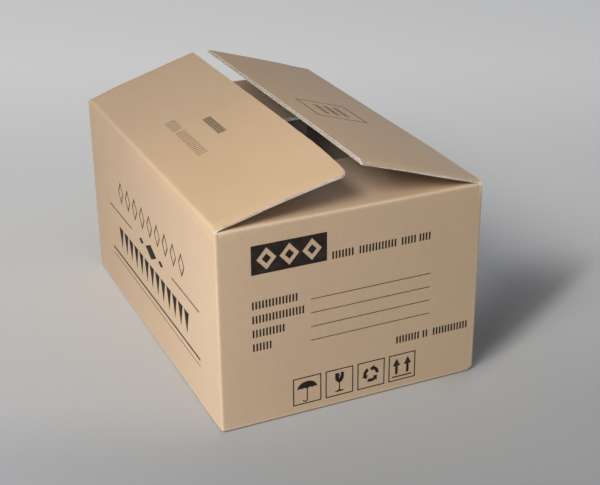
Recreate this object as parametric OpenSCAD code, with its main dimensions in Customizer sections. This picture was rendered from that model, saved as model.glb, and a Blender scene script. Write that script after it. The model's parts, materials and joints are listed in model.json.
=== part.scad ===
/* [Carton] */
// Outside width, across the two long walls
body_w = 400; // [320:5:480]
// Outside length, across the two short walls
body_l = 590; // [480:5:700]
// Height of the long walls' top fold line
side_h = 306; // [220:1:400]

/* [Board] */
// Thickness of the double-wall board
board_t = 5.5; // [5:0.5:7]
// Thickness of one liner sheet
liner_t = 0.6; // [0.4:0.1:0.9]
// Thickness of the fluted sheet between two liners
medium_t = 0.5; // [0.3:0.1:0.7]
// Distance from one flute to the next
flute_pitch = 8; // [6:0.5:10]
// How far the flutes are hollow, in from a flap's free edge
flute_depth = 12; // [6:1:20]
// Depth of the open flutes along a flap's short edges
edge_channel = 1.5; // [0.5:0.5:3]

/* [Folds] */
// Inner radius of the upright folds between walls
corner_in = 1; // [0.5:0.5:4]
// Inner radius of the top fold of the short walls
top_fold_in = 1; // [0.5:0.5:4]
// Outer radius of the crushed bottom folds
foot_r = 3; // [1:0.5:4.5]
// Outer radius of a hinged flap's root
root_r = 4; // [2:0.5:4.5]

/* [Flaps] */
// Gap between the two long top flaps when they lie flat
top_seam = 10; // [4:1:30]
// Gap between the two glued bottom flaps
bottom_seam = 2; // [1:0.5:8]
// Angle of the left flap above level, as it rests
left_angle = 17; // [1:1:80]
// Angle of the right flap above level, as it rests
right_angle = 17.5; // [1:0.5:80]
// Angle of the short top flaps below level
minor_angle = 3; // [1:0.5:15]
// Distance from a long flap's end to the short wall's outer face
end_gap = 4; // [2:0.5:10]

/* [Glue joint] */
// Width of the glue tab inside the back wall
tab_w = 38; // [25:1:60]
// Thickness of the tab, crushed flat for gluing
tab_t = 3; // [2:0.5:4.5]
// Height that the tab's ends stop short of the folds
tab_inset = 14; // [8:1:30]
// Height lost across the tab at each slanted end
tab_slant = 12; // [4:1:20]
// Distance from the back wall's raw edge to the right wall's face
joint_gap = 2; // [1:0.5:3]

/* [Print] */
// Thickness of the ink
ink_t = 0.15; // [0.05:0.05:0.3]
// Width of a heavy stroke
bold_stroke = 2.4; // [1.2:0.2:3]
// Width of a light stroke, and of the thin rules
fine_stroke = 1; // [0.6:0.1:1.2]
// Space between two heavy strokes
stroke_gap = 2.5; // [1:0.1:4]
// Height of the small rows of strokes
row_h = 11.6; // [8:0.2:14]
// Height from one ruled row to the next
row_pitch = 21.2; // [16:0.2:24]
// Width and height of the dark block
block_w = 110; // [90:1:112]
block_h = 42.5; // [30:0.5:46]
// Side of a handling mark's frame
mark_w = 43.5; // [38:0.5:48]
// Distance from one handling mark to the next
mark_pitch = 50.2; // [49:0.2:56]
// Width of the frames' lines
mark_line = 1.6; // [0.8:0.2:2.4]
// Width of the heavy rule on the left wall
bold_rule = 3.2; // [1.6:0.2:5]
// Length of the long rules on the left wall
side_rule_w = 416; // [360:2:460]
// Height of the pennants on the left wall
pennant_h = 36; // [24:1:40]
// Height of the outlined lozenges on the left wall
lozenge_h = 38; // [24:1:50]
// Side of the frame on the right flap
stamp_w = 86; // [60:1:100]

/* [Hidden] */

kraft = [0.76, 0.61, 0.44];
kraft_light = [0.80, 0.66, 0.49];
ink = [0.14, 0.11, 0.09];

// Running gap between a hinged flap and the board under it
hinge_gap = 0.3;
// How far glued faces sink into each other, to make one sheet
glue_bite = 0.05;
// How far a cut runs past the face that it opens
cut_over = 1;
// Flat steps in a quarter turn of a fold
fold_steps = 8;

// The short flaps fold one board lower, so the long flaps lie flat over them
wall_top = side_h - board_t - hinge_gap;
hinge_x = body_w / 2 + hinge_gap;
// Outer radii of the folds
corner_r = corner_in + board_t;
top_fold_r = top_fold_in + board_t;
// Between the upright folds
panel_w = body_w - 2 * corner_r;
panel_l = body_l - 2 * corner_r;
// All four top flaps have one depth
flap_d = (body_w - top_seam) / 2;
major_l = body_l - 2 * end_gap;
bottom_d = (body_w - bottom_seam) / 2;
// The short walls' bottom flaps climb over the ends of the long ones
ramp_end = 2 * board_t;
bottom_l = body_l - 2 * (ramp_end + hinge_gap);
// Height of one fluted layer between its liners
flute_h = (board_t - 3 * liner_t) / 2;

// Panel sizes that the print is drawn for, and how it is fitted to the panels
front_art = [386, 300];
side_art = [576, 300];
flap_art = [582, 195];
front_fit = min(panel_w / front_art[0], wall_top / front_art[1]);
side_fit = min(panel_l / side_art[0], wall_top / side_art[1]);
flap_fit = min(major_l / flap_art[0], flap_d / flap_art[1]);
// Left end and length of each group of strokes, from the panel's middle
heading_words = [[-33, 34], [8, 58], [73, 22], [101, 21]];
footer_words = [[69, 37], [112, 11], [129, 61]];
label_words = [68, 78, 48, 30];
flap_words = [[-66, 38], [-18, 98]];

// Points of an arc about c, from angle a0 to a1
function arc(c, r, a0, a1) =
    let (steps = ceil(fold_steps * abs(a1 - a0) / 90))
    [for (k = [0 : steps])
        let (a = a0 + (a1 - a0) * k / steps)
        c + r * [cos(a), sin(a)]];

// Where a short wall's flap ends: its outer face, at the free edge
fold_c = [top_fold_r, wall_top - top_fold_r];
flap_n = [sin(minor_angle), cos(minor_angle)];
flap_dir = [cos(minor_angle), -sin(minor_angle)];
flap_tip = fold_c + top_fold_r * flap_n + (flap_d - top_fold_r) * flap_dir;

// Section of a short wall from its glued bottom flap to its folded-in top flap
// x runs inwards from the outer face, y is height
module short_wall_section() {
    fold_a = 90 - minor_angle;
    polygon(concat(
        [[bottom_d, board_t], [ramp_end, board_t], [ramp_end - board_t, 0]],
        arc([foot_r, foot_r], foot_r, 270, 180),
        arc(fold_c, top_fold_r, 180, fold_a),
        [flap_tip, flap_tip - board_t * flap_n],
        arc(fold_c, top_fold_r - board_t, fold_a, 180),
        [[board_t, ramp_end + board_t / 2], [board_t * 1.5, ramp_end], [bottom_d, ramp_end]]
    ));
}

// Section of a long wall, rounded at its foot
module long_wall_section() {
    polygon(concat(
        [[board_t, 0]],
        arc([foot_r, foot_r], foot_r, 270, 180),
        [[0, wall_top], [board_t, wall_top]]
    ));
}

// Quarter of an upright fold, centred on its axis
module corner_section() {
    polygon(concat(
        arc([0, 0], corner_r, 0, 90),
        arc([0, 0], corner_r - board_t, 90, 0)
    ));
}

// Hollow ends of the flutes along a free edge of the given length
// The edge runs along y at x = 0, and the board's outer face is z = 0
module flute_ends(edge_l) {
    flutes = floor(edge_l / flute_pitch);
    start = -flutes * flute_pitch / 2;
    slope = norm([flute_pitch / 2, flute_h]);
    side = medium_t / 2 * slope / flute_h;
    peak = medium_t * slope / flute_pitch;
    for (layer = [0, 1], i = [0 : flutes - 1])
        translate([-flute_depth, start + i * flute_pitch,
                   liner_t - board_t + layer * (flute_h + liner_t)])
            rotate([90, 0, 90])
                linear_extrude(flute_depth + cut_over) {
                    polygon([[side, 0], [flute_pitch - side, 0], [flute_pitch / 2, flute_h - peak]]);
                    if (i > 0)
                        polygon([[side - flute_pitch / 2, flute_h], [0, peak],
                                 [flute_pitch / 2 - side, flute_h]]);
                }
}

// Long top flap: outer face at z = 0, hinged on x = 0, z = 0, free edge at x = flap_d
module major_flap() {
    difference() {
        translate([0, major_l / 2, 0])
            rotate([90, 0, 0])
                linear_extrude(major_l)
                    polygon(concat(
                        [[flap_d, 0], [flap_d, -board_t], [0, -board_t]],
                        arc([root_r, -root_r], root_r, 180, 90)
                    ));
        translate([flap_d, 0, 0])
            flute_ends(major_l);
        // Flutes run from fold to free edge, so the short edges show them side on
        for (side = [-1, 1], layer = [0, 1])
            translate([root_r + board_t, side * major_l / 2 - edge_channel,
                       liner_t - board_t + layer * (flute_h + liner_t)])
                cube([flap_d - root_r, 2 * edge_channel, flute_h]);
    }
}

// Front wall with its bottom and top flaps, between the upright folds
module short_wall() {
    difference() {
        translate([-panel_w / 2, -body_l / 2, 0])
            rotate([90, 0, 90])
                linear_extrude(panel_w)
                    short_wall_section();
        translate([0, flap_tip[0] - body_l / 2, flap_tip[1]])
            rotate([-minor_angle, 0, 0])
                rotate([0, 0, 90])
                    flute_ends(panel_w);
    }
}

// Left wall from y0 to y1, with its glued bottom flap
module long_wall(y0, y1) {
    translate([-body_w / 2, y1, 0])
        rotate([90, 0, 0])
            linear_extrude(y1 - y0)
                long_wall_section();
    translate([board_t - body_w / 2, -bottom_l / 2, 0])
        cube([bottom_d - board_t, bottom_l, board_t]);
}

// Upright fold about an axis at x, y, opening at the given turn
module upright_fold(x, y, turn) {
    translate([x, y, foot_r])
        rotate([0, 0, turn])
            linear_extrude(wall_top - foot_r)
                corner_section();
}

// Glue tab inside the back wall, with slanted ends, easing from full board to its crushed thickness
module glue_tab() {
    x0 = panel_w / 2 - tab_w;
    x1 = panel_w / 2;
    z0 = ramp_end + tab_inset;
    z1 = wall_top - top_fold_r - tab_inset;
    translate([0, body_l / 2 - board_t + glue_bite, 0])
        intersection() {
            rotate([90, 0, 0])
                linear_extrude(board_t)
                    polygon([[x0, z0 + tab_slant], [x1, z0], [x1, z1], [x0, z1 - tab_slant]]);
            linear_extrude(wall_top)
                polygon([[x0, 0], [x1, 0], [x1, -board_t], [x1 - board_t, -tab_t], [x0, -tab_t]]);
        }
}

module carton_body() {
    joint_y = panel_l / 2 - board_t + glue_bite;
    color(kraft) {
        short_wall();
        rotate([0, 0, 180])
            short_wall();
        long_wall(-panel_l / 2, panel_l / 2);
        rotate([0, 0, 180])
            long_wall(-joint_y, panel_l / 2);
        upright_fold(-panel_w / 2, -panel_l / 2, 180);
        upright_fold(panel_w / 2, -panel_l / 2, 270);
        upright_fold(-panel_w / 2, panel_l / 2, 90);
        // The right wall turns inside the back wall and ends in the tab
        upright_fold(panel_w / 2, joint_y, 0);
        glue_tab();
        translate([panel_w / 2, body_l / 2 - board_t, foot_r])
            cube([corner_r - joint_gap, board_t, wall_top - foot_r]);
    }
}

module left_major_flap() {
    color(kraft_light)
        translate([-hinge_x, 0, side_h])
            rotate([0, -left_angle, 0])
                major_flap();
}

module right_major_flap() {
    color(kraft_light)
        translate([hinge_x, 0, side_h])
            rotate([0, -right_angle, 180])
                major_flap();
}

// Row of upright strokes, its lower left corner at x, y
module strokes(x, y, w, h, stroke, gap) {
    for (i = [0 : floor((w + gap) / (stroke + gap)) - 1])
        translate([x + i * (stroke + gap), y])
            square([stroke, h]);
}

// Groups of heavy strokes
module words(groups, y, h) {
    for (group = groups)
        strokes(group[0], y, group[1], h, bold_stroke, stroke_gap);
}

module lozenge(w, h) {
    polygon([[w / 2, 0], [0, h / 2], [-w / 2, 0], [0, -h / 2]]);
}

module square_frame(w, line) {
    difference() {
        square(w, center = true);
        square(w - 2 * line, center = true);
    }
}

// Open umbrella with a hooked handle, in one outline
module umbrella(r = 15.5, half = 0.8, drop = 17, hook_r = 2.2) {
    scallop = (r - half) / 4;
    hook = [-half - hook_r, -drop];
    function dip(x) = [for (p = arc([0, 0], scallop, 180, 0)) [p[0] + x, p[1] / 2]];
    polygon(concat(
        [for (p = arc([0, 0], r, 0, 180)) [p[0], p[1] * 0.8]],
        dip(-half - 3 * scallop),
        dip(-half - scallop),
        arc(hook, hook_r, 360, 180),
        arc(hook, hook_r + 2 * half, 180, 360),
        dip(half + scallop),
        dip(half + 3 * scallop)
    ));
}

// Stemmed glass with a crack in its rim, about its middle
module glass() {
    polygon([
        [-7, 15], [-1.5, 15], [0.8, 10.5], [-1, 9], [0.4, 5], [1.2, 9.5], [2.8, 11], [1, 15], [7, 15],
        [6.5, 5], [3.5, 0.5], [0.8, -1], [0.8, -12.5], [6.5, -14], [6.5, -15.5],
        [-6.5, -15.5], [-6.5, -14], [-0.8, -12.5], [-0.8, -1], [-3.5, 0.5], [-6.5, 5]
    ]);
}

// One of the curved arrows that chase each other round a ring
module loop_arrow(r0 = 7.5, r1 = 12.5, head = 2.5, sweep = 68, tip = 34) {
    function at(r, a) = r * [cos(a), sin(a)];
    polygon(concat(
        arc([0, 0], r1, 0, sweep),
        [at(r1 + head, sweep), at((r0 + r1) / 2, sweep + tip), at(r0 - head, sweep)],
        arc([0, 0], r0, sweep, 0)
    ));
}

module up_arrow(h = 26, stem = 2, head = 6) {
    shoulder = h - 2 * head;
    polygon([
        [-stem, 0], [stem, 0], [stem, shoulder], [head, shoulder],
        [0, h], [-head, shoulder], [-stem, shoulder]
    ]);
}

// Two upright arrows over a bar, about their middle
module this_way_up(spread = 9, foot = -11, bar_w = 32, bar_h = 2, bar_gap = 3) {
    for (side = [-1, 1])
        translate([side * spread, foot])
            up_arrow();
    translate([-bar_w / 2, foot - bar_gap - bar_h])
        square([bar_w, bar_h]);
}

// Four framed handling marks, middle of the first at x, y
module handling_marks(x, y, umbrella_y = 2, arrows = 3) {
    for (i = [0 : 3])
        translate([x + i * mark_pitch, y]) {
            square_frame(mark_w, mark_line);
            if (i == 0)
                translate([0, umbrella_y])
                    umbrella();
            if (i == 1)
                glass();
            if (i == 2)
                for (k = [0 : arrows - 1])
                    rotate(k * 360 / arrows)
                        loop_arrow();
            if (i == 3)
                this_way_up();
        }
}

// Dark block with three lozenges left bare in it, each round a small dark one
module dark_block() {
    pitch = block_w * 0.3;
    bare = [block_w * 0.26, block_h * 0.76];
    core = [block_w * 0.12, block_h * 0.34];
    difference() {
        square([block_w, block_h]);
        for (i = [-1 : 1])
            translate([block_w / 2 + i * pitch, block_h / 2])
                lozenge(bare[0], bare[1]);
    }
    for (i = [-1 : 1])
        translate([block_w / 2 + i * pitch, block_h / 2])
            lozenge(core[0], core[1]);
}

// Print on the front wall, from the middle of its foot
module front_drawing() {
    left = -151;
    block_y = 231;
    label_y = 180;
    rule_x = -65;
    rule_w = 186;
    rule_drop = 3;
    footer_y = 76;
    marks = [-71.2, 36.2];
    translate([left, block_y])
        dark_block();
    words(heading_words, block_y, row_h);
    for (i = [0 : len(label_words) - 1]) {
        y = label_y - i * row_pitch;
        words([[left, label_words[i]]], y, row_h);
        translate([rule_x, y - rule_drop])
            square([rule_w, fine_stroke]);
    }
    words(footer_words, footer_y, row_h);
    handling_marks(marks[0], marks[1]);
}

// Print on the left wall, from the middle of its foot
module side_drawing() {
    mid = 8;
    // Outlined lozenges
    lozenges = 9;
    lozenge_pitch = 36;
    lozenge_y = 194;
    ring_w = lozenge_h * 0.68;
    inner = 0.76;
    // Short rules with three solid lozenges between them
    centre_y = 152;
    short_rule = [116, 2];
    short_x = 96;
    big = [52, 24];
    small = [22, 10];
    small_x = 46;
    // Pennants over the long rules
    pennants = 13;
    pennant_pitch = 26;
    pennant_w = 20;
    pennant_y = 91;
    bold_y = 73;
    fine_y = 63;
    for (i = [0 : lozenges - 1])
        translate([mid + (i - (lozenges - 1) / 2) * lozenge_pitch, lozenge_y])
            difference() {
                lozenge(ring_w, lozenge_h);
                lozenge(ring_w * inner, lozenge_h * inner);
            }
    translate([mid, centre_y]) {
        lozenge(big[0], big[1]);
        for (side = [-1, 1]) {
            translate([side * small_x, 0])
                lozenge(small[0], small[1]);
            translate([side * (short_x + short_rule[0] / 2), 0])
                square(short_rule, center = true);
        }
    }
    for (i = [0 : pennants - 1])
        translate([mid + (i - (pennants - 1) / 2) * pennant_pitch, pennant_y])
            polygon([[0, 0], [pennant_w / 2, pennant_h], [-pennant_w / 2, pennant_h]]);
    translate([mid - side_rule_w / 2, bold_y])
        square([side_rule_w, bold_rule]);
    translate([mid - side_rule_w / 2, fine_y])
        square([side_rule_w, fine_stroke]);
}

// Print on the left flap, from the middle of its fold
module left_flap_drawing() {
    fine_y = 61;
    fine_h = 16;
    bold = [-23, 108.6, 70, 13.4];
    for (group = flap_words)
        strokes(group[0], fine_y, group[1], fine_h, fine_stroke, 2 * stroke_gap);
    strokes(bold[0], bold[1], bold[2], bold[3], bold_stroke, stroke_gap);
}

// Print on the right flap, from the middle of its fold
module right_flap_drawing() {
    centre = [-26, 111];
    row_pitch = 17;
    row = [48, 8];
    translate(centre) {
        square_frame(stamp_w, mark_line);
        for (i = [-1 : 1])
            strokes(-row[0] / 2, i * row_pitch - row[1] / 2, row[0], row[1], fine_stroke, stroke_gap);
    }
}

module front_print() {
    color(ink)
        translate([0, -body_l / 2, 0])
            rotate([90, 0, 0])
                linear_extrude(ink_t)
                    scale(front_fit)
                        front_drawing();
}

module side_print() {
    color(ink)
        translate([-body_w / 2, 0, 0])
            rotate([90, 0, -90])
                linear_extrude(ink_t)
                    scale(side_fit)
                        side_drawing();
}

module left_flap_print() {
    color(ink)
        translate([-hinge_x, 0, side_h])
            rotate([0, -left_angle, 0])
                rotate([0, 0, -90])
                    linear_extrude(ink_t)
                        scale(flap_fit)
                            left_flap_drawing();
}

module right_flap_print() {
    color(ink)
        translate([hinge_x, 0, side_h])
            rotate([0, -right_angle, 180])
                rotate([0, 0, -90])
                    linear_extrude(ink_t)
                        scale(flap_fit)
                            right_flap_drawing();
}

carton_body();
left_major_flap();
right_major_flap();
front_print();
side_print();
left_flap_print();
right_flap_print();
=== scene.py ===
import json
import math

import bpy
import bmesh
from mathutils import Matrix, Vector, noise


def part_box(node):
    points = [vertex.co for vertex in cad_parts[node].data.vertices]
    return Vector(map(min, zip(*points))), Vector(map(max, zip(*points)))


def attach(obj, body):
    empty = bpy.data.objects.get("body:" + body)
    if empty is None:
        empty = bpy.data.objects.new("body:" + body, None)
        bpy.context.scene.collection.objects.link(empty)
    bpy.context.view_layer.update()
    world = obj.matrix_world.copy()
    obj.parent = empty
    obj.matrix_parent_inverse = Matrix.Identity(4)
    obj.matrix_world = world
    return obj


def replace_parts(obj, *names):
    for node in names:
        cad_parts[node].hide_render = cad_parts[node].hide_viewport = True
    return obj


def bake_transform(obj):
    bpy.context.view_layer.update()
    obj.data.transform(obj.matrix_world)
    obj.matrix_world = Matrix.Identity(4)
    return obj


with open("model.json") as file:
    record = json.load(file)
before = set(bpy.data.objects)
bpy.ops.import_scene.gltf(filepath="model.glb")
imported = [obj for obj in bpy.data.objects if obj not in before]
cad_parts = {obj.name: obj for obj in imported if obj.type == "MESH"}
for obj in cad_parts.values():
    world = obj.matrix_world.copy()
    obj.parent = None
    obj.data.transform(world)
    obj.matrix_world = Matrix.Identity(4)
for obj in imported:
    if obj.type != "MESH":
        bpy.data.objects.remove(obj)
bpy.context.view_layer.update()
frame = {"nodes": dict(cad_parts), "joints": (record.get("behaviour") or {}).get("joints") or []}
print("frame loaded:", ", ".join(sorted(frame["nodes"])))

mm = 0.001
fullTurn = 2 * math.pi
sharpAngle = math.radians(35)

# the carton's main planes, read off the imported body
sideX, endY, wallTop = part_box("carton_body")[1]
joints = {joint["child"]: joint for joint in frame["joints"]}

board = {
    "thickness": 5.5 * mm,
    "liner": 0.6 * mm,
    "medium": 0.5 * mm,
    "pitch": 8 * mm,
    "foldRadius": 6.5 * mm,
}


# shader sockets that take part in plain Python arithmetic
class Wire:
    def __init__(self, finish, socket):
        self.finish = finish
        self.socket = socket

    def calc(self, operation, *others):
        return self.finish.make("Math", {"operation": operation}, dict(enumerate((self, *others))))

    def turned(self, operation, other):
        return self.finish.make("Math", {"operation": operation}, {0: other, 1: self})

    def __add__(self, other): return self.calc("ADD", other)
    def __radd__(self, other): return self.turned("ADD", other)
    def __sub__(self, other): return self.calc("SUBTRACT", other)
    def __rsub__(self, other): return self.turned("SUBTRACT", other)
    def __mul__(self, other): return self.calc("MULTIPLY", other)
    def __rmul__(self, other): return self.turned("MULTIPLY", other)
    def __gt__(self, other): return self.calc("GREATER_THAN", other)
    def __lt__(self, other): return self.calc("LESS_THAN", other)
    def __abs__(self): return self.calc("ABSOLUTE")


# one procedural material and the nodes that make it
class Finish:
    def __init__(self, name, roughness=0.9, specular=0.2):
        self.material = bpy.data.materials.new(name)
        self.material.use_nodes = True
        self.tree = self.material.node_tree
        self.shader = self.tree.nodes["Principled BSDF"]
        self.shader.inputs["Roughness"].default_value = roughness
        self.shader.inputs["Specular IOR Level"].default_value = specular
        self.place = self.make("TexCoord", output="Object")
        self.normal = self.make("NewGeometry", output="Normal")

    def feed(self, socket, value):
        if isinstance(value, Wire):
            self.tree.links.new(value.socket, socket)
        elif socket.type == "RGBA" and len(value) == 3:
            socket.default_value = (*value, 1)
        else:
            socket.default_value = value

    # any node: its type, its settings first, then the values or links of its sockets
    def make(self, kind, settings=None, sockets=None, output=0):
        node = self.tree.nodes.new("ShaderNode" + kind)
        for key, value in (settings or {}).items():
            setattr(node, key, value)
        for key, value in (sockets or {}).items():
            self.feed(node.inputs[key], value)
        return Wire(self, node.outputs[output])

    def axes(self, vector):
        split = self.make("SeparateXYZ", None, {0: vector}).socket.node
        return [Wire(self, split.outputs[letter]) for letter in "XYZ"]

    def stretched(self, scale):
        return self.make("VectorMath", {"operation": "MULTIPLY"}, {0: self.place, 1: scale})

    def cloud(self, scale, detail, vector=None):
        return self.make("TexNoise", None, {
            "Vector": vector or self.place, "Scale": scale, "Detail": detail})

    def step(self, value, low, high):
        return self.make("MapRange", {"interpolation_type": "SMOOTHSTEP"}, {
            "Value": value, "From Min": low, "From Max": high})

    def mix(self, amount, first, second):
        return self.make("Mix", {"data_type": "RGBA"}, {0: amount, 6: first, 7: second}, 2)

    # colour times a plain brightness
    def shade(self, colour, brightness):
        level = self.make("CombineXYZ", None, {0: brightness, 1: brightness, 2: brightness})
        return self.make("VectorMath", {"operation": "MULTIPLY"}, {0: colour, 1: level})

    def bump(self, height, distance):
        return self.make("Bump", None, {"Height": height, "Distance": distance})

    def finish(self, colour=None, roughness=None, normal=None):
        for name, value in (("Base Color", colour), ("Roughness", roughness), ("Normal", normal)):
            if value is not None:
                self.feed(self.shader.inputs[name], value)
        return self.material


kraft = {
    "liner": (0.625, 0.455, 0.305),
    "leftFlap": (0.665, 0.475, 0.300),
    # painted shade: greyer tone of the right flap, which faces away from the light
    "rightFlap": (0.616, 0.469, 0.339),
    # rubbed folds, also the painted highlight on the near right upright fold
    "wornAndHighlight": (0.76, 0.62, 0.46),
    # rubbed pale and painted highlight on the short flaps' top folds
    "rubbedAndHighlight": (0.93, 0.79, 0.63),
    # painted light: paler liner inside the carton and under the flaps, lifting their shade
    "inside": (0.74, 0.62, 0.51),
    # painted shade on the short flaps away from their folds, the far one darker
    "shortFlapShade": (0.64, 0.51, 0.40),
    "farShortFlapShade": (0.54, 0.43, 0.34),
    "cut": (0.96, 0.91, 0.84),
    "cutShadow": (0.46, 0.37, 0.29),
    "flute": (0.66, 0.56, 0.45),
    # painted contact shadow along the foot
    "contactShadow": (0.22, 0.16, 0.11),
    "ink": (0.018, 0.013, 0.010),
    "inkThin": (0.075, 0.052, 0.036),
}

# how strongly each trait of the liner paper shows, in its tone and in its relief
paper = {
    "cloudTone": 0.09,
    "cloudRelief": 0.8,
    "mottleTone": 0.07,
    "fibreTone": 0.10,
    "fibreRelief": 0.10,
    "fibreStretch": (1, 1, 0.22),
    "fleckTone": 0.10,
    "fluteTone": 0.003,
    "fluteRelief": 0.015,
    "roughness": 0.86,
    "roughnessSpread": 0.12,
    "relief": 0.3 * mm,
}


# liner paper: cloudy tone, long fibres, dark flecks and flute lines that barely show
def linerPaper(look, colour, across):
    clouds = look.cloud(scale=7, detail=3) - 0.5
    mottle = look.cloud(scale=120, detail=4) - 0.5
    fibres = look.cloud(scale=420, detail=3, vector=look.stretched(paper["fibreStretch"])) - 0.5
    flecks = look.step(look.cloud(scale=760, detail=2), low=0.70, high=0.78)
    flutes = (across * (fullTurn / board["pitch"])).calc("SINE")
    tone = 1 + clouds * paper["cloudTone"] + mottle * paper["mottleTone"] + fibres * paper["fibreTone"]
    tone = tone + flutes * paper["fluteTone"] - flecks * paper["fleckTone"]
    height = flutes * paper["fluteRelief"] + fibres * paper["fibreRelief"] + clouds * paper["cloudRelief"]
    roughness = paper["roughness"] + (look.cloud(scale=300, detail=2) - 0.5) * paper["roughnessSpread"]
    return look.finish(look.shade(colour, tone), roughness, look.bump(height, paper["relief"]))


# where the carton's tones change: distances inwards from its faces or up from the floor;
# a facing is how much of a face's normal lies along an axis
cartonTones = {
    "sideFacing": 0.7,
    "upFacing": 0.9,
    "edgeFacing": 0.6,
    "uprightFold": (8 * mm, 2 * mm),
    "uprightWear": 0.06,
    # painted highlight on the near right upright fold
    "nearRightHighlight": 0.3,
    "footStart": (1.5 * mm, 3 * mm),
    "footEnd": (3.5 * mm, 7 * mm),
    "footPaleBand": 0.35,
    # painted contact shadow, up to this height from the floor
    "contactShadowHeight": (1 * mm, 2.6 * mm),
    "topFold": (11 * mm, 4 * mm),
    "topFoldFacing": (0.5, 0.9),
    "topFoldHeight": 8 * mm,
    "topFoldRubAndHighlight": 0.3,
    "topFoldMottle": 0.25,
    "rimWidth": 5.6 * mm,
    "rimHeight": 1 * mm,
    "rimEnd": 9 * mm,
    "insideWall": 5 * mm,
    "insideTop": 12 * mm,
    "insideFloor": 4 * mm,
    "shortFlapHeight": 30 * mm,
    "shortFlapSide": 6 * mm,
    "shortFlapFold": (60 * mm, 9 * mm),
    "shortFlapFree": 0.36,    # share of the half length inside which their free edges lie
}


# limits for a step, given as distances inwards from a plane
def inset(plane, distances):
    return [plane - distance for distance in distances]


def cartonBoard():
    look = Finish("kraftCarton")
    tones = cartonTones
    x, y, z = look.axes(look.place)
    facingX, facingY, facingZ = look.axes(look.normal)
    onSide = abs(facingX) > tones["sideFacing"]
    onShortFlap = z > wallTop - tones["shortFlapHeight"]
    # upright folds, lightly rubbed, with a painted highlight on the near right one, and a paler band just
    # above the foot
    nearX = look.step(abs(x), *inset(sideX, tones["uprightFold"]))
    nearY = look.step(abs(y), *inset(endY, tones["uprightFold"]))
    uprightWearAndHighlight = nearX * nearY * (tones["uprightWear"] + tones["nearRightHighlight"] * (x > 0) * (y < 0))
    foot = look.step(z, *tones["footStart"]) * (1 - look.step(z, *tones["footEnd"]))
    wear = uprightWearAndHighlight + foot * tones["footPaleBand"]
    # the short flaps' folds are rubbed pale, with a painted highlight along the ridge where they face up
    topFold = look.step(facingZ, *tones["topFoldFacing"]) * (z > wallTop - tones["topFoldHeight"])
    topFold = topFold * look.step(abs(y), *inset(endY, tones["topFold"]))
    rubbedAndHighlight = topFold * (tones["topFoldRubAndHighlight"] + tones["topFoldMottle"] * look.cloud(scale=60, detail=4))
    # raw top of the long walls, and the free edges of the short flaps
    rawTop = (facingZ > tones["upFacing"]) * (abs(x) > sideX - tones["rimWidth"])
    rawTop = rawTop * (z > wallTop - tones["rimHeight"]) * (abs(y) < endY - tones["rimEnd"])
    freeEdge = (abs(facingY) > tones["edgeFacing"]) * (abs(y) < endY * tones["shortFlapFree"])
    freeEdge = freeEdge * onShortFlap
    # the liner inside is painted paler, as painted light lifting the shaded interior
    inner = (abs(x) < sideX - tones["insideWall"]) * (abs(y) < endY - tones["insideWall"])
    inner = inner * (z < wallTop - tones["insideTop"]) * (z > tones["insideFloor"])
    colour = look.mix(inner, kraft["liner"], kraft["inside"])
    # painted shade: the short flaps are greyer away from their folds, the far one darker still
    shaded = onShortFlap * (1 - look.step(abs(y), *inset(endY, tones["shortFlapFold"])))
    shaded = shaded * (abs(x) < sideX - tones["shortFlapSide"])
    shortFlapShade = look.mix(y > 0, kraft["shortFlapShade"], kraft["farShortFlapShade"])
    colour = look.mix(shaded, colour, shortFlapShade)
    # rubbed folds, the painted highlight on the near right one and the paler band above the foot
    colour = look.mix(wear, colour, kraft["wornAndHighlight"])
    # rub and painted highlight along the top folds' ridge
    colour = look.mix(rubbedAndHighlight, colour, kraft["rubbedAndHighlight"])
    # painted contact shadow where the walls meet the floor
    colour = look.mix(1 - look.step(z, *tones["contactShadowHeight"]), colour, kraft["contactShadow"])
    colour = look.mix(rawTop.calc("MAXIMUM", freeEdge), colour, kraft["cut"])
    return linerPaper(look, colour, x + onSide * (y - x))


flapTones = {
    "underFacing": -0.4,
    "foldSide": (3 * mm, 0.8 * mm),
    "foldHeight": 3 * mm,
    "foldWear": 0.12,
    "rightFoldWear": 0.4,
    "leftFade": (-100 * mm, 150 * mm),    # along the fold, from the near end's tone to the liner's
    # the right flap's tone is painted shade
    "rightFade": (30 * mm, 180 * mm),     # across, from the liner's tone to the right flap's
}


def flapBoard():
    look = Finish("kraftFlap")
    tones = flapTones
    x, y, z = look.axes(look.place)
    facingZ = look.axes(look.normal)[2]
    fold = look.step(abs(x), *inset(sideX, tones["foldSide"]))
    fold = fold * look.step(z, wallTop, wallTop + tones["foldHeight"])
    nearLeft = (x < 0) * (1 - look.step(y, *tones["leftFade"]))
    colour = look.mix(nearLeft, kraft["liner"], kraft["leftFlap"])
    # painted shade: greyer towards the right, on the right flap
    colour = look.mix(look.step(x, *tones["rightFade"]), colour, kraft["rightFlap"])
    # painted light: the flaps' undersides are paler, lifting their shade
    colour = look.mix(facingZ < tones["underFacing"], colour, kraft["inside"])
    wear = fold * (tones["foldWear"] + tones["rightFoldWear"] * (x > 0))
    colour = look.mix(wear, colour, kraft["wornAndHighlight"])
    return linerPaper(look, colour, y)


rawEdge = {
    "tone": 0.94,
    "fibreTone": 0.14,
    "torn": 0.35,
    "roughness": 0.95,
    "fluteTone": 0.9,
    "fluteMottle": 0.2,
}


def cutBoard():
    look = Finish("cutEdge")
    fibres = look.cloud(scale=900, detail=3)
    torn = look.step(look.cloud(scale=150, detail=3), low=0.52, high=0.66)
    colour = look.mix(torn * rawEdge["torn"], kraft["cut"], kraft["cutShadow"])
    colour = look.shade(colour, rawEdge["tone"] + fibres * rawEdge["fibreTone"])
    return look.finish(colour, rawEdge["roughness"], look.bump(fibres, paper["relief"]))


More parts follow.
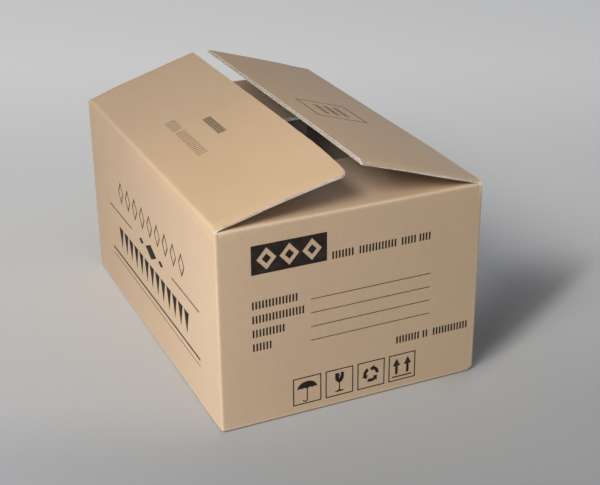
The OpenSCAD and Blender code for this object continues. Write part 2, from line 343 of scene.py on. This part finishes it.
def fluteBoard():
    look = Finish("fluteInside")
    mottle = look.cloud(scale=500, detail=2)
    return look.finish(look.shade(kraft["flute"], rawEdge["fluteTone"] + mottle * rawEdge["fluteMottle"]))


ink = {
    "specular": 0.25,
    "thinPatches": 0.35,
    "thinPores": 0.30,
    "roughness": 0.7,
    "roughnessSpread": 0.15,
    "relief": 0.05 * mm,
}


# soaked-in ink, thinner in patches and at the pores
def printInk():
    look = Finish("printingInk", specular=ink["specular"])
    patches = look.cloud(scale=90, detail=4)
    pores = look.step(look.cloud(scale=1400, detail=2), low=0.60, high=0.70)
    thin = look.step(patches, low=0.45, high=0.75) * ink["thinPatches"] + pores * ink["thinPores"]
    colour = look.mix(thin, kraft["ink"], kraft["inkThin"])
    roughness = ink["roughness"] + patches * ink["roughnessSpread"]
    return look.finish(colour, roughness, look.bump(pores, ink["relief"]))


cartonFinish = cartonBoard()
flapFinish = flapBoard()
cutFinish = cutBoard()
fluteFinish = fluteBoard()
inkFinish = printInk()
print("finishes made")


def ease(value, low, high):
    t = min(max((value - low) / (high - low), 0), 1)
    return t * t * (3 - 2 * t)


# smooth noise from -1 to 1
def jitter(*place):
    return noise.noise(Vector(place))


# points and faces of one mesh while it is being made, each face with its finish
class Draft:
    def __init__(self):
        self.points = []
        self.faces = []
        self.finishes = []

    def face(self, corners, finish, flip):
        self.faces.append(corners[::-1] if flip else corners)
        self.finishes.append(finish)


# mesh put into the scene as an object, smooth up to the sharp angle
def addMesh(name, mesh, materials, faceFinish):
    mesh.materials.clear()
    for material in materials:
        mesh.materials.append(material)
    mesh.polygons.foreach_set("material_index", faceFinish)
    mesh.polygons.foreach_set("use_smooth", [True] * len(mesh.polygons))
    mesh.set_sharp_from_angle(angle=sharpAngle)
    mesh.update()
    piece = bpy.data.objects.new(name, mesh)
    bpy.context.scene.collection.objects.link(piece)
    return piece


def addDraft(name, draft, materials):
    mesh = bpy.data.meshes.new(name)
    mesh.from_pydata(draft.points, [], draft.faces)
    return addMesh(name, mesh, materials, draft.finishes)


# how finely a copied part is cut, and how close its points are joined
grid = {
    "spacing": 25 * mm,
    "joinBefore": 0.01 * mm,
    "joinAfter": 0.02 * mm,
    "cutMargin": 0.001 * mm,
}


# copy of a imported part, cut into a grid so that it can settle out of true
def settledCopy(name, node, material, body, settle, cuts=((), (), ())):
    mesh = bmesh.new()
    mesh.from_mesh(frame["nodes"][node].data)
    bmesh.ops.remove_doubles(mesh, verts=mesh.verts, dist=grid["joinBefore"])
    low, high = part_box(node)
    for axis in range(3):
        extent = high[axis] - low[axis]
        count = int(extent / grid["spacing"])
        normal = Vector([float(axis == k) for k in range(3)])
        places = [low[axis] + extent * i / (count + 1) for i in range(1, count + 1)]
        for place in places + list(cuts[axis]):
            bmesh.ops.bisect_plane(
                mesh, geom=mesh.verts[:] + mesh.edges[:] + mesh.faces[:],
                plane_co=normal * place, plane_no=normal, dist=grid["cutMargin"])
    for vertex in mesh.verts:
        vertex.co = settle(vertex.co)
    bmesh.ops.remove_doubles(mesh, verts=mesh.verts, dist=grid["joinAfter"])
    bmesh.ops.dissolve_degenerate(mesh, edges=mesh.edges, dist=grid["joinAfter"])
    data = bpy.data.meshes.new(name)
    mesh.to_mesh(data)
    mesh.free()
    piece = addMesh(name, data, [material], [0] * len(data.polygons))
    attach(piece, body)
    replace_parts(piece, node)
    return piece


carton = {
    "foldSag": 0.1 * mm,      # how far the short walls' top folds sink in the middle
    "sagHeight": (90 * mm, 8 * mm),
    "wallHollow": 1.0 * mm,   # how far the long walls bow inwards
    "endHollow": 0.6,         # the short walls' bow against that
    "footReach": 9 * mm,      # size of the knocked lower corners
    "leftFoot": 0.8 * mm,     # how far they are knocked in
    "rightFoot": 6.5 * mm,
    "crushed": 0.12 * mm,     # how far the long walls stand back under their creases
    "crushedHeight": (24 * mm, 18 * mm),
    "uprightSquare": 4.5,     # how square the folds are; 2 would be a quarter circle
    "topSquare": 4,
    "topStart": (0.8, 3),     # where the top folds turn square, in fold radii from their ends
    "foldMargin": 1.001,
    "sagEnds": (0.2, 0.9),    # shares of the half length between which the sag grows
    "wallStart": 0.9,         # share of the half width or length where a wall begins
}


# length at which a unit direction meets the squarer fold
def squareReach(a, b, power):
    return (a ** power + b ** power) ** (-1 / power)


# an upright fold is squarer than a true quarter circle; the glued corner stays as it is
def squareFold(x, y):
    radius = board["foldRadius"]
    dx, dy = abs(x) - (sideX - radius), abs(y) - (endY - radius)
    length = math.hypot(dx, dy)
    if dx <= 0 or dy <= 0 or length > radius * carton["foldMargin"] or (x > 0 and y > 0):
        return x, y
    out = squareReach(dx / length, dy / length, carton["uprightSquare"])
    return math.copysign(sideX - radius + dx * out, x), math.copysign(endY - radius + dy * out, y)


# so are the short walls' top folds, away from their ends
def squareTop(x, y, z):
    radius = board["foldRadius"]
    dy, dz = abs(y) - (endY - radius), z - (wallTop - radius)
    length = math.hypot(dy, dz)
    if dy <= 0 or dz <= 0 or length > radius * carton["foldMargin"]:
        return y, z
    out = squareReach(dy / length, dz / length, carton["topSquare"])
    start, end = carton["topStart"]
    out = 1 + (out - 1) * ease(sideX - abs(x), radius * start, radius * end)
    return math.copysign(endY - radius + dy * out, y), wallTop - radius + dz * out


# where a point of the carton's body comes to lie
def settleCarton(p, crushed=True):
    x, y, z = p
    across = max(1 - (x / sideX) ** 2, 0)
    along = max(1 - (y / endY) ** 2, 0)
    # the upright folds end in the round of the short walls' top folds
    radius = board["foldRadius"]
    depth = max(endY - abs(y), 0)
    if abs(x) > sideX - radius - 0.1 * mm and depth < radius:
        z = min(z, wallTop - radius + math.sqrt(radius ** 2 - (radius - depth) ** 2))
    x, y = squareFold(x, y)
    y, z = squareTop(x, y, z)
    # those top folds sag
    nearTop = ease(z, *inset(wallTop, carton["sagHeight"]))
    sagStart, sagEnd = carton["sagEnds"]
    z -= carton["foldSag"] * across * nearTop * ease(abs(y), sagStart * endY, sagEnd * endY)
    # walls bow inwards, most at half height
    mid = math.sin(math.pi * min(max(z / wallTop, 0), 1))
    inX = ease(abs(x), sideX * carton["wallStart"], sideX)
    inY = ease(abs(y), endY * carton["wallStart"], endY)
    x -= math.copysign(carton["wallHollow"] * mid * along * inX, x)
    y -= math.copysign(carton["wallHollow"] * carton["endHollow"] * mid * across * inY, y)
    if crushed:
        under = ease(z, *inset(wallTop, carton["crushedHeight"]))
        x -= math.copysign(carton["crushed"] * inX * under, x)
    # worn lower corners
    reach = carton["footReach"]
    corner = ease(abs(x), sideX - reach, sideX) * ease(abs(y), endY - reach, endY)
    low = 1 - min(max(z / reach, 0), 1)
    knock = carton["leftFoot" if x < 0 else "rightFoot"] * corner * (1 - math.sqrt(1 - low * low))
    return Vector((x - math.copysign(knock, x), y - math.copysign(knock, y), z))


footSteps = (2 * mm, 4 * mm, 6 * mm, 8 * mm)
footHeights = (0.4 * mm, 1 * mm, 2 * mm, 3.5 * mm, 5 * mm, 7 * mm, 9 * mm)
footCuts = (
    [side * (sideX - step) for side in (-1, 1) for step in footSteps],
    [side * (endY - step) for side in (-1, 1) for step in footSteps],
    footHeights,
)
settledCopy("carton_sheet", "carton_body", cartonFinish, "carton", settleCarton, footCuts)
settledCopy("front_marks", "front_print", inkFinish, "carton", settleCarton)
settledCopy("side_marks", "side_print", inkFinish, "carton", settleCarton)
print("carton body done")


leftBoard = {
    "side": -1,
    "bow": 2.0 * mm,                 # how far the free edge's ends hang
    "curl": 9.5 * mm,                # how far the near corner curls down
    "slump": 0,                      # how far the fold sinks towards its near end
    "crushed": (0.75, 0.36, 0.34),   # thickness lost at the short ends: at fold, middle, free edge
    "seed": 1.7,
}
rightBoard = {
    "side": 1,
    "bow": 1.6 * mm,
    "curl": 0,
    "slump": 2.4 * mm,
    "crushed": (0.75, 0.50, 0.72),
    "seed": 8.4,
}

# where the long flaps' bends begin and how fast they grow;
# plain numbers are shares of a flap's half length, of its depth, or powers
bending = {
    "bowStart": 0.15,
    "bowEnd": 1.25,
    "bowGain": 1.2,
    "bowPower": 1.4,
    "farBow": 0.25,           # bow of the far half against the near one
    "slumpStart": 0.45,
    "slumpDepth": 0.9,
    "curlStart": 0.66,
    "curlPower": 1.8,
    "curlAtFold": 0.16,
    "curlRise": 40 * mm,
    "curlReach": 2.1,
    "cornerRadius": 9 * mm,
    "crushRun": 12 * mm,
    "crushPower": 0.5,
    "crushMiddle": 0.4,
    "farCrush": 0.8,          # crush of the far end against the near one, and how it fades
    "farCrushFade": 0.5,
    "farCrushDepth": 0.3,
    "roughness": 0.25 * mm,
    "roughStart": 20 * mm,
}


# one long top flap: u runs along the fold, v from fold to free edge, w out of the board
class Flap:
    def __init__(self, body, node, side, bow, curl, slump, crushed, seed):
        joint = joints[body]
        self.body = body
        self.node = node
        self.side = side
        self.bow = bow
        self.curl = curl
        self.slump = slump
        self.crushed = crushed
        self.seed = seed
        self.hinge = Vector(joint["pos_m"])
        angle = math.radians(-joint["range_deg"][0])
        self.inward = Vector((-side * math.cos(angle), 0, math.sin(angle)))
        self.outward = Vector((side * math.sin(angle), 0, math.cos(angle)))
        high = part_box(node)[1]
        self.half = high.y
        self.depth = (high.z - self.hinge.z) / math.sin(angle)

    # how far the board lies below its plane at u, v
    def drop(self, u, v):
        reach = max(v, 0) / self.depth
        bow = self.bow * (1 if u < 0 else bending["farBow"])
        bow *= ease(abs(u), bending["bowStart"] * self.half, bending["bowEnd"] * self.half)
        bend = bow * bending["bowGain"] * reach ** bending["bowPower"]
        bend += self.slumpAt(u) * (1 - ease(v, 0, bending["slumpDepth"] * self.depth))
        start = self.half * bending["curlStart"]
        corner = max(-u - start, 0) / (self.half - start)
        out = bending["curlAtFold"] * ease(v, 0, bending["curlRise"])
        out += (1 - bending["curlAtFold"]) * reach ** bending["curlReach"]
        return bend + self.curl * corner ** bending["curlPower"] * out

    # rounded near corner, seen from above
    def rounded(self, u, v):
        radius = bending["cornerRadius"]
        cu, cv = -(self.half - radius), self.depth - radius
        du, dv = min(u - cu, 0), max(v - cv, 0)
        if self.curl and du < 0 < dv:
            size = max(-du, dv) / math.hypot(du, dv)
            return cu + du * size, cv + dv * size
        return u, v

    # the fold itself lies lower towards the near end
    def slumpAt(self, u):
        return self.slump * ease(-u, bending["slumpStart"] * self.half, self.half)

    # share of the board's thickness left near the short ends
    def pinch(self, u, v):
        atFold, middle, atFree = self.crushed
        middleDepth = bending["crushMiddle"] * self.depth
        crush = atFold + (middle - atFold) * ease(v, 0, middleDepth)
        crush += (atFree - middle) * ease(v, middleDepth, self.depth)
        if u >= 0:
            fade = ease(v, 0, bending["farCrushDepth"] * self.depth)
            crush *= bending["farCrush"] - bending["farCrushFade"] * fade
        inwards = ease(self.half - abs(u), 0, bending["crushRun"])
        return 1 - crush + crush * inwards ** bending["crushPower"]

    def at(self, u, v, w):
        thickness = board["thickness"]
        if w < 0.5 * mm:
            w = (w + thickness) * self.pinch(u, v) - thickness
        u, v = self.rounded(u, v)
        rough = jitter(u * 40, v * 40, self.seed) * bending["roughness"]
        w = w - self.drop(u, v) + min(rough, 0) * ease(v, 0, bending["roughStart"])
        return self.hinge + self.inward * v + self.outward * w + Vector((0, u, 0))

    # the same for a point that is given in the carton's frame
    def settle(self, p):
        offset = p - self.hinge
        return self.at(p.y, offset.dot(self.inward), offset.dot(self.outward))


# how far a sheet's short ends and free edge stand back, and how close to them that begins
rag = {
    "ends": 1.1 * mm,
    "free": 0.7 * mm,
    "endsStart": 0.95,
    "freeStart": 0.9,
}


# ragged outline of a sheet
def ragged(flap, u, v, layer):
    ends = abs(jitter(v * 130, layer * 7.3, flap.seed)) * rag["ends"]
    free = abs(jitter(u * 90, layer * 5.1, flap.seed + 3)) * rag["free"]
    scale = 1 - ends / flap.half * ease(abs(u), rag["endsStart"] * flap.half, flap.half)
    return u * scale, v - free * ease(v, rag["freeStart"] * flap.depth, flap.depth)


# positions along u, in even steps
def alongFold(half, step):
    count = int(2 * half / step)
    return [-half + 2 * half * i / count for i in range(count + 1)]


flapSheets = {
    "start": 6 * mm,          # where the sheets begin, next to the fold
    "linerStep": 10 * mm,
    "coarse": 14,             # steps across a liner, then finer ones along the free edge
    "fine": 10,
    "fineDepth": 30 * mm,
    "wavePoints": 12,         # points along each flute's wave
    "waveDepths": (0, 0.06, 0.12, 0.18, 0.3, 0.45, 0.6, 0.75, 0.86, 0.95, 1),
    "waveInset": 0.6 * mm,
    "waveDrift": 1.3,
    "phase": 0.35 * math.pi,  # how far the second flutes lie along from the first
    "filled": (3 * mm, 1.2 * mm),
    "filledShare": 0.85,
    "filledJitter": 0.3,
    "flattened": (4 * mm, 1.2 * mm),
    "paleEnds": 7 * mm,
}

# places of the finishes in a flap's list
linerFace, cutFace, fluteFace = 0, 1, 2


# positions along v, finer at the free edge
def acrossFlap(depth):
    start, coarse, fine = flapSheets["start"], flapSheets["coarse"], flapSheets["fine"]
    fineDepth = flapSheets["fineDepth"]
    steps = [start + (depth - fineDepth - start) * i / coarse for i in range(coarse)]
    return steps + [depth - fineDepth * (1 - i / fine) for i in range(fine + 1)]


# thin closed sheet between two surfaces, its rim and its last bit at each end in the cut finish
def addSheet(draft, flap, us, vs, top, bottom, layer, finish=linerFace, openEnds=0):
    base = len(draft.points)
    rows = len(vs)
    for surface in (top, bottom):
        for u in us:
            for v in vs:
                ru, rv = ragged(flap, u, v, layer)
                draft.points.append(flap.at(ru, rv, surface(u, v)))
    lower = base + len(us) * rows

    # corners given by place along the fold, place across, and surface
    def quad(*corners):
        return [(lower if low else base) + i * rows + j for i, j, low in corners]

    left = flap.side < 0
    for i in range(len(us) - 1):
        cell = cutFace if abs(us[i]) > flap.half - openEnds else finish
        for j in range(rows - 1):
            for low in (False, True):
                corners = quad((i, j, low), (i, j + 1, low), (i + 1, j + 1, low), (i + 1, j, low))
                draft.face(corners, cell, low == left)
    for i in range(len(us) - 1):
        for j in (0, rows - 1):
            corners = quad((i, j, False), (i + 1, j, False), (i + 1, j, True), (i, j, True))
            draft.face(corners, cutFace, (j == 0) == left)
    for j in range(rows - 1):
        for i in (0, len(us) - 1):
            corners = quad((i, j, False), (i, j, True), (i, j + 1, True), (i, j + 1, False))
            draft.face(corners, cutFace, (i == 0) == left)


# fluted sheet between two liners; crushed flutes fill the board at its short ends
def addFlutes(draft, flap, layer, top, room):
    medium = board["medium"]
    centre = top - room / 2
    swing = (room - medium) / 2
    phase = flapSheets["phase"] * layer
    start = flapSheets["start"]
    us = alongFold(flap.half - flapSheets["waveInset"], board["pitch"] / flapSheets["wavePoints"])
    vs = [start + (flap.depth - start) * share for share in flapSheets["waveDepths"]]

    def middle(u, v):
        drift = flapSheets["waveDrift"] * jitter(u * 45, v * 3, phase + flap.seed)
        wave = swing * math.cos(fullTurn * u / board["pitch"] + phase + drift)
        return centre + wave * (1 - ease(abs(u), *inset(flap.half, flapSheets["flattened"])))

    def half(u, v):
        filled = ease(abs(u), *inset(flap.half, flapSheets["filled"]))
        uneven = flapSheets["filledJitter"] * jitter(v * 120, layer + flap.seed, 2)
        filled *= flapSheets["filledShare"] + uneven
        return (medium + (room - medium) * min(filled, 1)) / 2

    addSheet(draft, flap, us, vs,
             lambda u, v: middle(u, v) + half(u, v), lambda u, v: middle(u, v) - half(u, v),
             layer + 4, fluteFace, flapSheets["paleEnds"])


# double-wall board: three liners with two fluted sheets between them
def addFlap(name, flap):
    liner = board["liner"]
    room = (board["thickness"] - 3 * liner) / 2
    draft = Draft()
    us = alongFold(flap.half, flapSheets["linerStep"])
    vs = acrossFlap(flap.depth)
    for layer in range(3):
        top = -layer * (liner + room)
        addSheet(draft, flap, us, vs, lambda u, v: top, lambda u, v: top - liner, layer)
    for layer in range(2):
        addFlutes(draft, flap, layer, -liner - layer * (liner + room), room)
    piece = addDraft(name, draft, [flapFinish, cutFinish, fluteFinish])
    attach(piece, flap.body)
    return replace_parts(piece, flap.node)


leftFlap = Flap("left_flap", "left_major_flap", **leftBoard)
rightFlap = Flap("right_flap", "right_major_flap", **rightBoard)
addFlap("left_flap_board", leftFlap)
addFlap("right_flap_board", rightFlap)
settledCopy("left_flap_marks", "left_flap_print", inkFinish, "left_flap", leftFlap.settle)
settledCopy("right_flap_marks", "right_flap_print", inkFinish, "right_flap", rightFlap.settle)
print("flaps done")


crease = {
    "radius": 7 * mm,
    "reach": 14 * mm,         # how far it laps on to wall and flap
    "wallReach": 1.4,         # how much further it goes down the wall
    "lapMiddle": 0.75,
    "steps": 12,              # steps round the fold
    "lift": 0.15 * mm,        # how far it lies outside the flap
    "wobble": 0.08 * mm,
    "wallDepth": 8 * mm,      # below this it settles with the wall
    "endSteps": (0.4 * mm, 3.4 * mm, 7.4 * mm, 12.4 * mm, 18.4 * mm),
    "evenStart": 28 * mm,
    "evenStep": 12 * mm,
    "underDepths": (13 * mm, 7 * mm),
    "underShare": 0.92,       # share of the flap's thickness that it covers at its end
    "inner": ((0.95, 0.4 * mm), (0.9, -4 * mm)),    # share of the wall's thickness, height from its top
    "blendStart": 1 * mm,
    "blendEnd": 6 * mm,
}


# creased board between a long wall and its flap
def addCrease(name, flap):
    side = flap.side
    wallX = side * sideX
    thickness = board["thickness"]
    radius, reach, steps = crease["radius"], crease["reach"], crease["steps"]
    down = Vector((0, 0, -1))
    out = Vector((side, 0, 0))
    corner = Vector((wallX, 0, flap.hinge.z))
    # its outer side: up the wall, round the fold and on to the flap
    half = math.acos(max(-1, min(1, down.dot(flap.inward)))) / 2
    tangent = radius / math.tan(half)
    first = corner + down * tangent
    last = corner + flap.inward * tangent
    middle = first - out * radius
    startAngle, endAngle = (math.atan2((p - middle).z, (p - middle).x) for p in (first, last))
    turn = (endAngle - startAngle + math.pi) % fullTurn - math.pi
    outer = [corner + down * reach * crease["wallReach"], corner + down * (reach + tangent) / 2]
    for k in range(steps + 1):
        angle = startAngle + turn * k / steps
        outer.append(middle + Vector((math.cos(angle), 0, math.sin(angle))) * radius)
    outer += [corner + flap.inward * reach * crease["lapMiddle"], corner + flap.inward * reach]
    inner = [Vector((wallX - side * thickness * share, 0, wallTop + height))
             for share, height in crease["inner"]]
    # the last three points lie on the flap, and follow its bends
    onWall, onFlap = outer[:-3], outer[-3:]
    lapDepths = [(p - flap.hinge).dot(flap.inward) for p in onFlap]
    nearEnd = [-flap.half + step for step in crease["endSteps"]]
    even = alongFold(flap.half - crease["evenStart"], crease["evenStep"])
    us = nearEnd + even + [-u for u in nearEnd[::-1]]
    draft = Draft()
    for u in us:
        along = Vector((0, u, 0))
        lap = [flap.at(u, v, crease["lift"]) for v in lapDepths]
        sunk = lap[0] - onFlap[0] - along
        ring = [p + along + sunk * ease(k, 1, len(onWall)) for k, p in enumerate(onWall)] + lap
        ring += [flap.at(u, v, -crease["underShare"] * thickness) for v in crease["underDepths"]]
        ring += [p + along for p in inner]
        for k, p in enumerate(ring):
            wobble = abs(jitter(u * 35, k * 0.3, flap.seed)) * crease["wobble"]
            place = p - out * wobble
            onCarton = place.z < wallTop - crease["wallDepth"]
            draft.points.append(settleCarton(place, False) if onCarton else place)
    size = len(ring)
    for i in range(len(us) - 1):
        for k in range(size):
            n = (k + 1) % size
            corners = [i * size + k, i * size + n, (i + 1) * size + n, (i + 1) * size + k]
            draft.face(corners, linerFace, side > 0)
    for i in (0, len(us) - 1):
        draft.face([i * size + k for k in range(size)], cutFace, (i == 0) == (side > 0))
    piece = addDraft(name, draft, [flapFinish, cutFinish])
    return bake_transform(piece)


addCrease("left_crease", leftFlap)
addCrease("right_crease", rightFlap)
print("creases done")


studio = {
    "floorReach": 14,
    # painted light: the floor is darker near the camera and paler far off
    "floorNear": (0.325, 0.335, 0.35),
    "floorFar": (0.837, 0.837, 0.837),
    "floorFade": (-0.75, 0.55),
    "floorTone": 0.99,
    "floorMottle": 0.02,
    "away": (0.408, 0.913),          # direction on the floor away from the camera
    "shadowPlace": (0.37, -0.175),
    "shadowAlong": (-0.857, -0.515),
    "shadowInner": (-0.05, 0),
    "shadowOuter": (0, 0.16),
    "shadowEnds": (0.08, 0.32),
    "shadowDepth": 0.49,
    # painted shade on the floor in front, darker towards the left
    "frontSlope": 0.3,
    "frontTone": -0.07,
    "frontFade": (-0.45, -0.25),
    # painted light: the far floor's glow
    "farGlow": (0.205, 0.200, 0.190),
    "hazeFade": (0.2, 1.5),
    "hazeSlope": 0.15,
    "worldColour": (0.93, 0.97, 1.05),
    "worldStrength": 0.33,
}

# soft lamps: where each stands, where it looks, its width in metres and its power;
# the one with a cone in degrees is a dim spot into the slot between the long flaps
lamps = {
    "key": {
        "place": (-1.30, -1.13, 1.62),
        "target": (0, 0, 0.15),
        "size": 1.0,
        "watts": 30.7,
        "colour": (1, 0.95, 0.85),
    },
    "leftFill": {
        "place": (-0.86, -0.48, 0.09),
        "target": (-0.2, -0.28, 0.04),
        "size": 0.4,
        "watts": 3.3,
        "colour": (0.96, 1, 1.12),
    },
    "slotFill": {
        "place": (-0.70, -1.62, 0.97),
        "target": (0.15, 0.20, 0.21),
        "size": 0.1,
        "watts": 12,
        "colour": (0.95, 1, 1.15),
        "cone": 7.5,
    },
}


# distances along and beside a direction on the floor
def turnedPlane(x, y, direction):
    dx, dy = direction
    return x * dx + y * dy, x * dy - y * dx


def addFloor():
    mesh = bpy.data.meshes.new("floor")
    reach = studio["floorReach"]
    corners = [(-reach, -reach, 0), (reach, -reach, 0), (reach, reach, 0), (-reach, reach, 0)]
    mesh.from_pydata(corners, [], [(0, 1, 2, 3)])
    look = Finish("studioFloor", specular=0.1)
    x, y = look.axes(look.place)[:2]
    away, aside = turnedPlane(x, y, studio["away"])
    # painted light: darker near the camera, paler far off
    colour = look.mix(look.step(away, *studio["floorFade"]), studio["floorNear"], studio["floorFar"])
    # deeper tone under the shadow at the right, along its outer side
    shadowX, shadowY = studio["shadowPlace"]
    along, beside = turnedPlane(x - shadowX, y - shadowY, studio["shadowAlong"])
    shadow = look.step(beside, *studio["shadowInner"]) * (1 - look.step(beside, *studio["shadowOuter"]))
    shadow = shadow * (1 - look.step(abs(along), *studio["shadowEnds"]))
    # painted shade: the floor in front gets darker towards the left
    front = (aside * studio["frontSlope"] + studio["frontTone"]) * (1 - look.step(away, *studio["frontFade"]))
    mottle = look.cloud(scale=2, detail=2) * studio["floorMottle"]
    tone = (studio["floorTone"] + mottle) * (1 + front) * (1 - shadow * studio["shadowDepth"])
    look.finish(look.shade(colour, tone))
    # painted light: a pale glow on the far floor, for the camera and in mirrored or clear parts only
    camera, glossy, clear = (look.make("LightPath", output="Is %s Ray" % ray)
                             for ray in ("Camera", "Glossy", "Transmission"))
    seen = (camera + glossy + clear).calc("MINIMUM", 1)
    glow = look.step(away, *studio["hazeFade"]) * (1 - aside * studio["hazeSlope"]) * seen
    look.feed(look.shader.inputs["Emission Color"], look.shade(studio["farGlow"], glow))
    look.shader.inputs["Emission Strength"].default_value = 1
    mesh.materials.append(look.material)
    floor = bpy.data.objects.new("floor", mesh)
    bpy.context.scene.collection.objects.link(floor)


def addLights():
    for name, lamp in lamps.items():
        light = bpy.data.lights.new(name, "SPOT" if "cone" in lamp else "AREA")
        if "cone" in lamp:
            light.spot_size = math.radians(lamp["cone"])
            light.spot_blend = 1
            light.shadow_soft_size = lamp["size"] / 2
        else:
            light.shape = "DISK"
            light.size = lamp["size"]
        light.energy = lamp["watts"]
        light.color = lamp["colour"]
        stand = bpy.data.objects.new(name, light)
        stand.location = lamp["place"]
        aim = Vector(lamp["target"]) - stand.location
        stand.rotation_euler = aim.to_track_quat("-Z", "Y").to_euler()
        stand.visible_camera = False
        bpy.context.scene.collection.objects.link(stand)
    world = bpy.data.worlds.new("studio")
    world.use_nodes = True
    back = world.node_tree.nodes["Background"]
    back.inputs["Color"].default_value = (*studio["worldColour"], 1)
    back.inputs["Strength"].default_value = studio["worldStrength"]
    bpy.context.scene.world = world


view = {
    "azimuth": -24.270,
    "elevation": 25.018,
    "roll": -0.459,
    "place": (-0.68770, -1.64137, 0.95498),
    "lens": 74.145,
    "sensor": 36,
    "clipEnd": 60,
}


def addCamera():
    a, e, r = (math.radians(view[key]) for key in ("azimuth", "elevation", "roll"))
    back = Vector((math.sin(a) * math.cos(e), -math.cos(a) * math.cos(e), math.sin(e)))
    level = Vector((math.cos(a), math.sin(a), 0))
    rise = back.cross(level)
    right = level * math.cos(r) + rise * math.sin(r)
    up = back.cross(right)
    lens = bpy.data.cameras.new("camera")
    lens.lens = view["lens"]
    lens.sensor_width = view["sensor"]
    lens.sensor_fit = "HORIZONTAL"
    lens.clip_end = view["clipEnd"]
    camera = bpy.data.objects.new("camera", lens)
    camera.matrix_world = Matrix((right, up, back)).transposed().to_4x4()
    camera.location = view["place"]
    bpy.context.scene.collection.objects.link(camera)
    bpy.context.scene.camera = camera


addFloor()
addLights()
addCamera()
bpy.context.scene.view_settings.view_transform = "Standard"
print("stage, lights and camera set")
